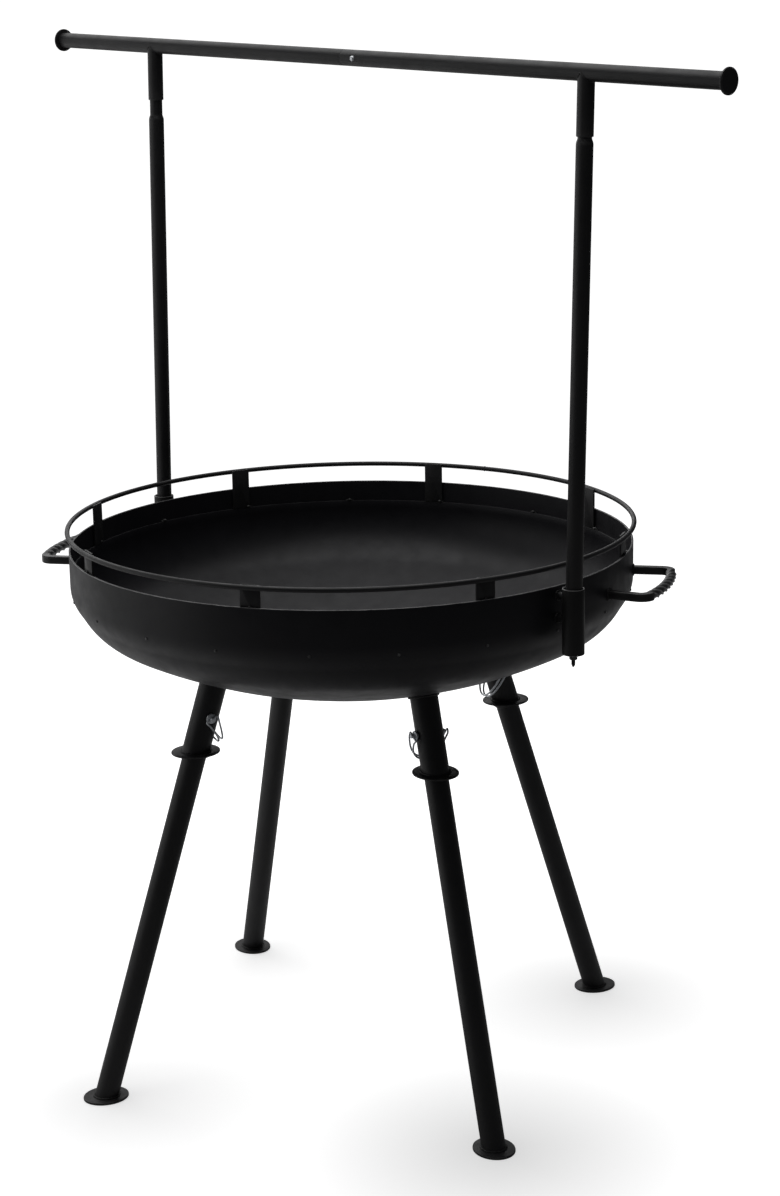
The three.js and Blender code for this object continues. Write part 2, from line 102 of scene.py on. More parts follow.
# Rows of weld spots round the bowl; first and drift are degrees.
LIP_TACKS = dict(count=16, first=71.4, drift=1.6, radius=452.6, z=-34.6, half=7.0, bead=1.5, dot=3.4)
EDGE_TACKS = dict(count=21, first=274.8, drift=1.2, radius=455.5, z=-70.4, dot=2.7)
STRAP_TACK = dict(drift=3, z=0.6, dot=2.6)

# How a bail's wire is bent: it narrows from its eye up to one angle, in points from first to last.
BAIL_BEND = dict(first=math.radians(12), last=math.radians(168), step=math.radians(19.5),
                 narrow_at=math.radians(70))

# Half the width of each weld bead.
WELD = dict(rail_joint=0.8, rail_under=1.5, rail_over=1.2, strap=1.2, handle=1.7, collar_top=1.7,
            collar_bottom=1.2, sleeve=2.1, foot=1.8, spacer=1.6, stub=1.0, end_disc=1.3)


# ------------------------ mesh tools

class Shape:
    """Points with a value each for wear and painted highlight, and faces, collected for one piece."""

    def __init__(self):
        self.points, self.wear, self.faces = [], [], []

    def add(self, part, matrix=None):
        points, wear, faces = part
        base = len(self.points)
        self.points += [matrix @ Vector(p) if matrix else Vector(p) for p in points]
        self.wear += wear
        self.faces += [tuple(base + k for k in face) for face in faces]
        return self


def rounded(corners, closed=True, steps=4):
    """Rounds an outline of (x, y, radius) corners. Gives (x, y, wear and painted highlight), with that value
    highest mid-corner.
    """
    out = []
    for i, (x, y, radius) in enumerate(corners):
        if not radius or (not closed and i in (0, len(corners) - 1)):
            out.append((x, y, 0.0))
            continue
        here = Vector((x, y))
        back = Vector(corners[i - 1][:2]) - here
        ahead = Vector(corners[(i + 1) % len(corners)][:2]) - here
        reach = min(radius, 0.49 * back.length, 0.49 * ahead.length)
        start, end = here + back.normalized() * reach, here + ahead.normalized() * reach
        for k in range(steps + 1):
            t = k / steps
            point = start * (1 - t) ** 2 + here * 2 * t * (1 - t) + end * t ** 2
            out.append((point.x, point.y, 4 * t * (1 - t)))
    return out


def turns(sides):
    """The angles of evenly spaced points round a circle."""
    return [2 * math.pi * k / sides for k in range(sides)]


def polar(radius, turn, z=0.0):
    return Vector((radius * math.cos(turn), radius * math.sin(turn), z))


def level_ring(radius, z, sides):
    return [polar(radius, turn, z) for turn in turns(sides)]


def bridge(rows, closed=False, caps=False):
    """Faces between rows of point indices. A row of one index is a pole; caps close the end rows."""
    sides = max(len(row) for row in rows)
    pairs = list(zip(rows, rows[1:]))
    if closed:
        pairs.append((rows[-1], rows[0]))
    faces = []
    for lower, upper in pairs:
        for k in range(sides):
            n = (k + 1) % sides
            if len(lower) == 1:
                faces.append((lower[0], upper[n], upper[k]))
            elif len(upper) == 1:
                faces.append((lower[k], lower[n], upper[0]))
            else:
                faces.append((lower[k], lower[n], upper[n], upper[k]))
    if caps:
        faces.append(tuple(reversed(rows[0])))
        faces.append(tuple(rows[-1]))
    return faces


def loft(rings, wears, closed=False, caps=False):
    """A skin over rings of points, with one value for wear and painted highlight for each ring."""
    points, wear, rows = [], [], []
    for ring, worn_and_lit in zip(rings, wears):
        rows.append(list(range(len(points), len(points) + len(ring))))
        points += ring
        wear += [worn_and_lit] * len(ring)
    return points, wear, bridge(rows, closed, caps)


def turned(outline, sides, closed=False):
    """Revolves (radius, height, wear and painted highlight) points about Z. A point on the axis becomes a
    pole.
    """
    rings = [level_ring(radius, height, sides) if radius > 1e-6 else [Vector((0, 0, height))]
             for radius, height, _ in outline]
    return loft(rings, [worn_and_lit for _, _, worn_and_lit in outline], closed)


def slab(outline, low, high, edge):
    """A flat plate from a closed (x, y) outline, with small rounded edges."""
    count = len(outline)
    near = 0.3 * edge
    rings, wears = [], []
    for z, inset, worn_and_lit in ((low, edge, 0.2), (low + near, near, 1.0), (low + edge, 0.0, 0.2),
                           (high - edge, 0.0, 0.2), (high - near, near, 1.0), (high, edge, 0.2)):
        ring = []
        for k in range(count):
            along = (Vector(outline[(k + 1) % count]) - Vector(outline[k - 1])).normalized()
            spot = Vector(outline[k]) + Vector((-along.y, along.x)) * inset
            ring.append(Vector((spot.x, spot.y, z)))
        rings.append(ring)
        wears.append(worn_and_lit)
    return loft(rings, wears, caps=True)


def swept(path, section, closed=False, up=UP):
    """Sweeps section(i) -> [(x, y, wear and painted highlight)] along points; x runs along the first normal,
    nearest to up.
    """
    count = len(path)
    path = [Vector(p) for p in path]
    points, wear, rings = [], [], []
    normal = None
    for i, here in enumerate(path):
        if closed:
            tangent = (path[(i + 1) % count] - path[i - 1]).normalized()
        else:
            tangent = (path[min(i + 1, count - 1)] - path[max(i - 1, 0)]).normalized()
        guide = up if normal is None else normal
        normal = (guide - tangent * guide.dot(tangent)).normalized()
        side = tangent.cross(normal)
        ring = []
        for x, y, worn_and_lit in section(i):
            ring.append(len(points))
            points.append(here + normal * x + side * y)
            wear.append(worn_and_lit)
        rings.append(ring)
    return points, wear, bridge(rings, closed, caps=not closed)


def resampled(path, step, closed=False):
    """Points at an even spacing along a path."""
    path = [Vector(p) for p in path]
    if closed:
        path = path + [path[0]]
    lengths = [0.0]
    for a, b in zip(path, path[1:]):
        lengths.append(lengths[-1] + (b - a).length)
    count = max(4, round(lengths[-1] / step))
    out, k = [], 0
    for i in range(count if closed else count + 1):
        want = lengths[-1] * i / count
        while k < len(path) - 2 and lengths[k + 1] < want:
            k += 1
        span = max(lengths[k + 1] - lengths[k], 1e-9)
        out.append(path[k].lerp(path[k + 1], (want - lengths[k]) / span))
    return out


def circle(radius, sides, squash=1.0, worn_and_lit=0.0):
    """A round or squashed section for swept."""
    return [(radius * math.cos(turn), radius * squash * math.sin(turn), worn_and_lit) for turn in turns(sides)]


def bead(path, radius, closed=False, pitch=2.6):
    """A weld bead: a soft ridge with overlapping ripples and uneven edges, tapered at open ends."""
    fine = resampled(path, pitch / 4, closed)
    count = len(fine)
    phase = random.random()
    shift = Vector((random.random(), random.random(), random.random())) * 50

    def section(i):
        ripple = 1 - (i / 4 + phase) % 1.0
        uneven = noise.noise(fine[i] * 0.35 + shift)
        size = radius * (0.86 + 0.2 * ripple + 0.18 * uneven)
        if not closed:
            size *= min(1.0, 0.35 + 0.65 * min(i, count - 1 - i) / 4)
        return circle(size, 8, worn_and_lit=0.25 * ripple)

    return swept(fine, section, closed)


def tack(centre, across, radius):
    """A small domed weld spot, flattened along a direction."""
    spin = across.to_track_quat("Z", "Y").to_matrix().to_4x4()
    seed = Vector((random.random(), random.random(), random.random())) * 40
    steps, sides, flatness, lumps = 6, 12, 0.62, 0.16
    rings, wears = [], []
    for i in range(steps + 1):
        lift = math.pi * i / steps
        ring = []
        for turn in turns(sides if 0 < i < steps else 1):
            spot = polar(math.sin(lift), turn, flatness * math.cos(lift))
            spot *= radius * (1 + lumps * noise.noise(spot * 2 + seed))
            ring.append(centre + spin @ spot)
        rings.append(ring)
        # Painted highlight: the dome's two poles, its crown and its hidden base, get the highest values,
        # which the coat paints bright.
        wears.append(0.5 * abs(math.cos(lift)))
    return loft(rings, wears)


def lathe(corners, sides, matrix):
    """A turned piece from (radius, height, corner radius): solid where its outline starts on the axis."""
    hollow = corners[0][0] > 0
    return Shape().add(turned(rounded(corners, hollow), sides, hollow), matrix)


def drill(radius, low, high, sides, matrix):
    """A round cutter along a matrix's Z."""
    outline = [(0, low, 0), (radius, low, 0), (radius, high, 0), (0, high, 0)]
    return Shape().add(turned(outline, sides), matrix)


SHARP = math.radians(38)


def new_object(name, data):
    obj = bpy.data.objects.new(name, data)
    bpy.context.scene.collection.objects.link(obj)
    return obj


def build(name, shape, material, *nodes, body="frame", slot="frame_coat"):
    mesh = bpy.data.meshes.new(name)
    mesh.from_pydata([tuple(p * MM) for p in shape.points], [], shape.faces)
    mesh.attributes.new("wear", "FLOAT", "POINT").data.foreach_set("value", shape.wear)
    mesh.validate()
    mesh.materials.append(material)
    obj = new_object(name, mesh)
    outward(mesh)
    finish_shading(mesh)
    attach(obj, body)
    if nodes:
        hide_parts(*nodes)
    return obj


def outward(mesh):
    """Turns every face of each closed body outward."""
    work = bmesh.new()
    work.from_mesh(mesh)
    bmesh.ops.recalc_face_normals(work, faces=work.faces)
    work.to_mesh(mesh)
    work.free()


def finish_shading(mesh):
    mesh.shade_smooth()
    mesh.set_sharp_from_angle(angle=SHARP)


def cut_with(obj, shape):
    """Cuts a shape out of an object's mesh, and applies the result."""
    mesh = bpy.data.meshes.new("cutter")
    mesh.from_pydata([tuple(p * MM) for p in shape.points], [], shape.faces)
    outward(mesh)
    helper = new_object("cutter", mesh)
    modifier = obj.modifiers.new("cut", "BOOLEAN")
    modifier.operation = "DIFFERENCE"
    modifier.solver = "EXACT"
    modifier.object = helper
    bpy.context.view_layer.update()
    result = bpy.data.meshes.new_from_object(obj.evaluated_get(bpy.context.evaluated_depsgraph_get()))
    obj.modifiers.clear()
    obj.data = result
    finish_shading(result)
    bpy.data.objects.remove(helper)


# ------------------------ placing

def turn_z(angle):
    return Matrix.Rotation(angle, 4, "Z")


BOWL = Matrix.Translation((BOWL_X, 0, 0))
GOALPOST = (Matrix.Translation((BOWL_X, 0, PIVOT_Z)) @ Matrix.Rotation(-SIDE_LEAN, 4, "X")
            @ Matrix.Rotation(LEAN, 4, "Y"))
CROSSBAR = GOALPOST @ Matrix.Translation((0, 0, BAR_RISE))


def station(number):
    """The frame of a leg: +X outward, with the leg in its XZ plane."""
    return BOWL @ turn_z(FIRST_TAB_ANGLE + (number - 1) * math.pi / 2)


def basis(x, y, z, origin=(0, 0, 0)):
    matrix = Matrix((x, y, z)).transposed().to_4x4()
    matrix.translation = Vector(origin)
    return matrix


def along_x(origin=(0, 0, 0)):
    """A frame with its Z along +X."""
    return basis((0, 1, 0), (0, 0, 1), (1, 0, 0), origin)


def along_y(origin):
    """A frame with its Z along +Y."""
    return basis((1, 0, 0), (0, 0, -1), (0, 1, 0), origin)


LEG_AXIS = Vector((-math.sin(LEG["splay"]), 0, math.cos(LEG["splay"])))
LEG_ACROSS = Vector((math.cos(LEG["splay"]), 0, math.sin(LEG["splay"])))


def leg_point(z):
    return Vector((LEG["foot_radius"] - z * math.tan(LEG["splay"]), 0, z))


def leg_ring(radius, reach, sides=64):
    """A ring round a leg's axis, each point slid along the leg by reach(point)."""
    ring = []
    for turn in turns(sides):
        spot = leg_point(0) + (LEG_ACROSS * math.cos(turn) + Vector((0, 1, 0)) * math.sin(turn)) * radius
        ring.append(spot + LEG_AXIS * reach(spot))
    return ring


def to_level(z):
    """Slides to a level plane."""
    return lambda spot: (z - spot.z) / LEG_AXIS.z


def square_at(z):
    """Slides to a plane across the leg's axis at a height of the axis."""
    return lambda spot: (leg_point(z) - spot).dot(LEG_AXIS)


def to_dish(offset):
    """Slides up to the underside of the dish."""
    centre = Vector((0, 0, CROWN_CENTRE_Z))

    def reach(spot):
        away = spot - centre
        half = away.dot(LEG_AXIS)
        return -half - math.sqrt(half ** 2 - away.length_squared + (DISH["crown"] + offset) ** 2)

    return reach


# ------------------------ materials

class Nodes:
    """Short names for building the node tree of a material or a world."""

    def __init__(self, owner, output="OutputMaterial"):
        owner.use_nodes = True
        self.owner, self.tree = owner, owner.node_tree
        self.tree.nodes.clear()
        self.out = self.make(output)
        self.coord = self.make("TexCoord").outputs["Object"]

    def make(self, kind, inputs=(), **settings):
        node = self.tree.nodes.new("ShaderNode" + kind)
        for key, value in settings.items():
            setattr(node, key, value)
        for key, value in dict(inputs).items():
            if isinstance(value, bpy.types.NodeSocket):
                self.tree.links.new(value, node.inputs[key])
            else:
                node.inputs[key].default_value = value
        return node

    def noise(self, scale, detail=3.0, roughness=0.55, stretch=None):
        where = self.coord
        if stretch:
            where = self.make("Mapping", {"Vector": where, "Scale": stretch}).outputs[0]
        node = self.make("TexNoise", {
            "Vector": where, "Scale": scale, "Detail": detail, "Roughness": roughness})
        return node.outputs["Fac"]

    def remap(self, value, low, high, to_low, to_high):
        ends = {"From Min": low, "From Max": high, "To Min": to_low, "To Max": to_high}
        return self.make("MapRange", {"Value": value, **ends}).outputs[0]

    def math(self, operation, a, b=0.0, clamp=False):
        return self.make("Math", {0: a, 1: b}, operation=operation, use_clamp=clamp).outputs[0]

    def mix(self, factor, a, b):
        return self.make("Mix", {"Factor": factor, 6: a, 7: b}, data_type="RGBA").outputs[2]

    def bump(self, height, distance, strength, normal=None):
        inputs = {"Height": height, "Distance": distance, "Strength": strength}
        if normal:
            inputs["Normal"] = normal
        return self.make("Bump", inputs).outputs[0]

    def done(self, shader):
        self.tree.links.new(shader.outputs[0], self.out.inputs["Surface"])
        return self.owner


def shade(level, warm=0.0):
    return (level * (1 + warm), level, level * (1 - warm), 1.0)


def powder_coat(name, dark, light, rough, peel, specular, dust=0.05, wear_colour=0.10):
    """Powder coat: slow colour drift, uneven gloss, orange peel, dust on level faces, and lighter edges that
    are partly wear and partly painted highlight.
    """
    n = Nodes(bpy.data.materials.new(name))
    drift = n.remap(n.noise(3.1, 2.0), 0.35, 0.65, 0.0, 1.0)
    cloud = n.remap(n.noise(38.0, 5.0, 0.6), 0.32, 0.68, 0.0, 1.0)
    grain = n.noise(1400.0, 2.0, 0.6)
    speck = n.remap(n.noise(620.0, 1.0), 0.66, 0.74, 0.0, 1.0)
    colour = n.mix(drift, dark, light)
    colour = n.mix(n.math("MULTIPLY", cloud, 0.35), colour, light)
    normal = n.make("NewGeometry").outputs["Normal"]
    upward = n.make("SeparateXYZ", {0: normal}).outputs["Z"]
    settled = n.math("MULTIPLY", n.remap(upward, 0.5, 1.0, 0.0, 1.0), n.remap(cloud, 0.2, 1.0, 0.3, 1.0))
    settled = n.math("MULTIPLY", settled, dust, clamp=True)
    colour = n.mix(settled, colour, shade(0.16, 0.03))
    colour = n.mix(n.math("MULTIPLY", speck, 0.06), colour, shade(0.12))
    # The wear value also carries painted highlights: where it is high, the colour is mixed towards the
    # bright wear colour.
    worn_and_lit = n.make("Attribute", attribute_name="wear").outputs["Fac"]
    rubbed_and_highlit = n.math("MULTIPLY", worn_and_lit, n.remap(cloud, 0.15, 0.75, 0.25, 1.0), clamp=True)
    colour = n.mix(n.math("MULTIPLY", rubbed_and_highlit, 0.55), colour, shade(wear_colour))
    gloss = n.remap(cloud, 0.0, 1.0, rough - 0.05, rough + 0.06)
    gloss = n.math("ADD", gloss, n.math("MULTIPLY", settled, 1.6))
    gloss = n.math("SUBTRACT", gloss, n.math("MULTIPLY", rubbed_and_highlit, 0.12), clamp=True)
    relief = n.bump(n.noise(170.0, 2.0), 0.0006, peel * 0.5)
    relief = n.bump(grain, 0.00025, peel, relief)
    shader = n.make("BsdfPrincipled", {
        "Base Color": colour, "Roughness": gloss, "Normal": relief,
        "Specular IOR Level": specular, "IOR": 1.5, "Metallic": 0.0})
    return n.done(shader)


def plated(name, base, shadow, rough, grain_scale, metal=1.0):
    """Plated or plain steel: slightly mottled, with fine drawn scratches."""
    n = Nodes(bpy.data.materials.new(name))
    mottle = n.remap(n.noise(240.0, 4.0, 0.6), 0.3, 0.7, 0.0, 1.0)
    drawn = n.noise(grain_scale, 3.0, 0.7, stretch=(1.0, 1.0, 6.0))
    worn_and_lit = n.make("Attribute", attribute_name="wear").outputs["Fac"]
    colour = n.mix(n.math("MULTIPLY", mottle, 0.45), base, shadow)
    colour = n.mix(n.math("MULTIPLY", worn_and_lit, 0.3), colour, shade(0.9))
    gloss = n.remap(drawn, 0.3, 0.7, rough - 0.07, rough + 0.1)
    relief = n.bump(drawn, 0.0001, 0.2)
    shader = n.make("BsdfPrincipled", {
        "Base Color": colour, "Roughness": gloss, "Normal": relief, "Metallic": metal})
    return n.done(shader)


# The bowl coat's bright wear colour paints a highlight along the band's rim and the dish's lip.
BOWL_COAT = powder_coat("bowl_coat", (0.0068, 0.0065, 0.0086, 1), (0.0116, 0.0112, 0.0142, 1),
                        0.45, 0.08, 0.40, dust=0.03, wear_colour=0.7)
FRAME_COAT = powder_coat("frame_coat", (0.0120, 0.0118, 0.0126, 1), (0.0200, 0.0197, 0.0208, 1),
                         0.46, 0.16, 0.47)
WELD_COAT = powder_coat("weld_coat", shade(0.010), shade(0.018), 0.42, 0.20, 0.45, wear_colour=0.06)
# A coat whose bright wear colour paints highlights on the socket rims and on the crowns of the weld spots.
PAINTED_HIGHLIGHT_COAT = powder_coat("coat_with_painted_highlight", shade(0.010), shade(0.018), 0.45, 0.12, 0.34, wear_colour=0.7)
OXIDE = powder_coat("oxide_black", shade(0.012), shade(0.022), 0.34, 0.05, 0.6, wear_colour=0.2)
# The handle coat's bright wear colour paints highlights on the grip's twisted corners.
HANDLE_COAT = powder_coat("handle_coat", shade(0.012), shade(0.022), 0.34, 0.12, 0.45, wear_colour=0.9)
ZINC = plated("zinc", shade(0.92, -0.04), shade(0.76, -0.04), 0.28, 700.0, 0.6)
SPRING = plated("spring_steel", shade(0.5), shade(0.32), 0.35, 900.0)


# ------------------------ bowl

def dish_face(offset, crown_steps=44, knuckle_steps=20):
    """One face of the dish as (radius, height, wear and painted highlight), from its middle up to its
    upright edge.
    """
    join = math.atan2(CENTRE_HEIGHT, KNEE_RADIUS)
    points = []
    for i in range(crown_steps + 1):
        turn = -math.pi / 2 + (math.pi / 2 - join) * i / crown_steps
        radius = DISH["crown"] + offset
        out = 0.0 if i == 0 else radius * math.cos(turn)
        points.append((out, CROWN_CENTRE_Z + radius * math.sin(turn), 0.0))
    for i in range(1, knuckle_steps + 1):
        turn = -join + join * i / knuckle_steps
        radius = DISH["knuckle"] + offset
        points.append((KNEE_RADIUS + radius * math.cos(turn),
                       RIM_Z + DISH["knuckle_top"] + radius * math.sin(turn), 0.0))
    return points


def dish_radius(height):
    """The outer radius of the dish's knuckle at a height counted from the rim."""
    return KNEE_RADIUS + math.sqrt(DISH["knuckle"] ** 2 - (height - DISH["knuckle_top"]) ** 2)


def make_bowl():
    band = Shape()
    # The weld under the band is ground smooth, so the band's outside runs into the dish without a step.
    outline = []
    low, high, steps = GROUND_SEAM["low"], GROUND_SEAM["high"], GROUND_SEAM["steps"]
    for i in range(steps):
        height = low + (high - low) * i / steps
        t = 1 - i / steps
        share = t * t * (3 - 2 * t)
        radius = BAND["outer"] * (1 - share) + (dish_radius(height) + GROUND_SEAM["proud"]) * share
        outline.append((radius, RIM_Z + height, 0.0))
    # Painted highlight: the rim's rounded corners get the highest wear values, which the bowl coat paints as
    # a bright line.
    outline += rounded([
        (BAND["outer"], RIM_Z + high, 0), (BAND["outer"], RIM_Z, 1.1),
        (BAND["inner"], RIM_Z, 1.1), (BAND["inner"], RIM_Z - BAND["height"] + 4, 0)], closed=False)
    for height in (-70, -78, -86, -92, low + 1):
        outline.append((dish_radius(height) - GROUND_SEAM["under"], RIM_Z + height, 0.0))
    band.add(turned(outline, 288, closed=True), BOWL)
    # The band's ends are welded together, and the weld is ground to a low flat ridge on both sides.
    seam, steps = BAND_SEAM["turn"], BAND_SEAM["steps"]
    for radius, low, high in ((BAND["outer"] + 0.05, -54, -3), (BAND["inner"] - 0.05, -33, -3)):
        path = [polar(radius, seam, RIM_Z + low + (high - low) * i / steps) for i in range(steps + 1)]
        ridge = circle(BAND_SEAM["half"], 10, BAND_SEAM["squash"])
        band.add(swept(path, lambda i: ridge, up=polar(1, seam + math.pi / 2)), BOWL)
    build("band", band, BOWL_COAT, "bowl_band", slot="bowl_coat")

    dish = Shape()
    lip = RIM_Z + DISH["top"]
    outside = dish_face(0)
    inside = dish_face(-DISH["thick"])
    outer, inner = DISH["outer"], DISH["outer"] - DISH["thick"]
    edge = [(outer, lip - 0.8, 0.0), (outer - 0.3, lip - 0.2, 0.0), (outer - 0.9, lip, 0.0),
            (inner + 0.9, lip, 0.0), (inner + 0.3, lip - 0.2, 0.1), (inner, lip - 0.8, 0.0)]
    dish.add(turned(outside + edge + inside[::-1], 288), BOWL)
    # Pressing and welding leave the sheet a little wavy, away from its edge.
    for k, point in enumerate(dish.points):
        local = Vector((point.x - BOWL_X, point.y, 0))
        fade = max(0.0, 1 - (local.length / DISH_WAVE["fades_at"]) ** 4)
        dish.points[k].z += DISH_WAVE["height"] * fade * noise.noise(local * DISH_WAVE["scale"])
    build("dish", dish, BOWL_COAT, "bowl_dish", slot="bowl_coat")


def tack_direction(row, k):
    """The direction from the bowl's axis of weld spot k of a row, a little off its even place."""
    drift = random.uniform(-row["drift"], row["drift"])
    return polar(1, math.radians(row["first"] + 360 / row["count"] * k + drift))


def make_tacks():
    """Weld spots on the dish's lip inside the band, and along the band's ground seam outside."""
    inner, outer = Shape(), Shape()
    for k in range(LIP_TACKS["count"]):
        away = tack_direction(LIP_TACKS, k)
        reach = UP.cross(away) * LIP_TACKS["half"]
        middle = away * LIP_TACKS["radius"] + UP * (RIM_Z + LIP_TACKS["z"])
        inner.add(bead([middle - reach, middle, middle + reach], LIP_TACKS["bead"]), BOWL)
        inner.add(tack(middle - away * 1.2 + UP * 1.2, UP, LIP_TACKS["dot"]), BOWL)
    build("seam_tacks_inside", inner, PAINTED_HIGHLIGHT_COAT, slot="bowl_coat")
    for k in range(EDGE_TACKS["count"]):
        away = tack_direction(EDGE_TACKS, k)
        spot = away * EDGE_TACKS["radius"] + UP * (RIM_Z + EDGE_TACKS["z"])
        outer.add(tack(spot, away, EDGE_TACKS["dot"]), BOWL)
    build("seam_tacks_outside", outer, PAINTED_HIGHLIGHT_COAT, slot="bowl_coat")


def make_rail():
    rail = Shape()
    radius, rod, level = RAIL["radius"], RAIL["rod"], RIM_Z + RAIL["z"]
    rail.add(swept(level_ring(radius, level, 360), lambda i: circle(rod, 16), closed=True), BOWL)
    loop = [polar(radius + rod * math.cos(turn), RAIL_JOINT, level + rod * math.sin(turn))
            for turn in turns(12)]
    rail.add(bead(loop, WELD["rail_joint"], closed=True), BOWL)
    build("rail", rail, FRAME_COAT, "rail_ring")

    half, face = TAB["width"] / 2, TAB["face"]
    low, high = RIM_Z + TAB["bottom"], RIM_Z + TAB["top"]
    outline = [(x, y) for x, y, _ in rounded([
        (-half, low, 1.2), (half, low, 1.2), (half, high, TAB["corner"]), (-half, high, TAB["corner"])])]
    for k in range(TAB["count"]):
        place = BOWL @ turn_z(FIRST_TAB_ANGLE + 2 * math.pi * k / TAB["count"])
        strap = slab(outline, 0, TAB["thick"], 0.5)
        strap = Shape().add(strap, place @ along_x((face - TAB["thick"], 0, 0)))
        build(f"strap_{k + 1}", strap, FRAME_COAT, f"rail_tab_{k + 1}")
        welds = Shape()
        # On the strap's outer face: under and over the rod, down both edges, and a spot at the rim.
        for height, size in ((26.9, WELD["rail_under"]), (33.6, WELD["rail_over"])):
            path = [(face + 0.9, y, RIM_Z + height) for y in (-12.5, -6, 0, 6, 12.5)]
            welds.add(bead(path, size), place)
        for y in (-half + 0.3, half - 0.3):
            path = [(face + 0.5, y, RIM_Z + z) for z in (-30, -20, -12)]
            welds.add(bead(path, WELD["strap"]), place)
        shift = random.uniform(-STRAP_TACK["drift"], STRAP_TACK["drift"])
        spot = Vector((face + 1.0, shift, RIM_Z + STRAP_TACK["z"]))
        welds.add(tack(spot, Vector((1, 0, 0.8)), STRAP_TACK["dot"]), place)
        build(f"strap_weld_{k + 1}", welds, WELD_COAT)


# ------------------------ handles

def handle_stations(bend_steps=14, grip_steps=180):
    """(x, y, heading, twist) along a handle's bar in its own plane."""
    spread, bend, bow = HANDLE["spread"], HANDLE["bend"], GRIP["bow"]
    start, middle = HANDLE["start"], GRIP["middle"]
    full = 2 * math.pi * GRIP["turns"]
    turned_to = math.pi / 2 - bow
    grip_radius = GRIP["half"] / math.sin(bow)
    bend_x = middle - grip_radius * (1 - math.cos(bow)) - bend * (math.sin(turned_to) + math.sin(spread))
    bend_y = -GRIP["half"] - bend * (math.cos(spread) - math.cos(turned_to))
    out = []
    for t in range(5):
        x = start + (bend_x - start) * t / 5
        out.append((x, bend_y + (bend_x - x) * math.tan(spread), -spread, 0.0))
    for i in range(bend_steps + 1):
        heading = -spread + (turned_to + spread) * i / bend_steps
        out.append((bend_x + bend * (math.sin(heading) + math.sin(spread)),
                    bend_y + bend * (math.cos(spread) - math.cos(heading)), heading, 0.0))
    for i in range(1, grip_steps // 2 + 1):
        heading = turned_to + 2 * bow * i / grip_steps
        x = middle - grip_radius * (1 - math.sin(heading))
        out.append((x, -grip_radius * math.cos(heading), heading, full * i / grip_steps))
    return out + [(x, -y, math.pi - heading, full - twist) for x, y, heading, twist in reversed(out[:-1])]


def bar_section():
    """The square bar's outline as (x, y, wear and painted highlight), with extra points along its flats."""
    half, corner = HANDLE["side"] / 2, HANDLE["corner"]
    steps = 4
    square = []
    for k, (x, y, _) in enumerate(rounded([
            (half, -half, corner), (half, half, corner), (-half, half, corner), (-half, -half, corner)],
            steps=steps)):
        square.append((x, y, max(0.0, 1 - (2 * half - abs(x) - abs(y)) / 4)))
        if k % (steps + 1) == steps:
            turn = Matrix.Rotation(math.pi / 2 * (k // (steps + 1)), 2)
            for along, worn_and_lit in ((-0.45, 0.12), (0.0, 0.0), (0.45, 0.12)):
                square.append((*(turn @ Vector((half, 0)) + turn @ Vector((0, half * along))), worn_and_lit))
    return square


def make_handle(name, angle):
    square = bar_section()
    stations = handle_stations()
    place = BOWL @ turn_z(angle)
    bar_place = place @ Matrix.Translation((0, 0, RIM_Z + HANDLE["z"]))
    rings = []
    for x, y, heading, twist in stations:
        ring = []
        for across, up, _ in square:
            a = across * math.cos(twist) - up * math.sin(twist)
            b = across * math.sin(twist) + up * math.cos(twist)
            ring.append(Vector((x - a * math.sin(heading), y + a * math.cos(heading), b)))
        rings.append(ring)
    bar = Shape().add(loft(rings, [0.0] * len(rings), caps=True), bar_place)
    # Painted highlight: the twist's corners are painted bright, standing in for light on its ridges, and the
    # plain arms hardly at all.
    twisted = 2 * math.pi * GRIP["turns"]
    bar.wear = [(1.0 if 0 < twist < twisted else 0.1) * worn_and_lit
                for _, _, _, twist in stations for _, _, worn_and_lit in square]
    build(name, bar, HANDLE_COAT, name)

    welds = Shape()
    reach = HANDLE["side"] / 2 + 0.9
    for side in (-1, 1):
        loop = []
        for across, up, _ in rounded([
                (reach, -reach, 2), (reach, reach, 2), (-reach, reach, 2), (-reach, -reach, 2)]):
            y = side * abs(stations[0][1]) + across
            x = math.sqrt((BAND["outer"] + 0.5) ** 2 - y ** 2)
            loop.append(Vector((x, y, RIM_Z + HANDLE["z"] + up)))
        welds.add(bead(loop, WELD["handle"], closed=True), place)
    build(name + "_welds", welds, WELD_COAT)


# ------------------------ legs

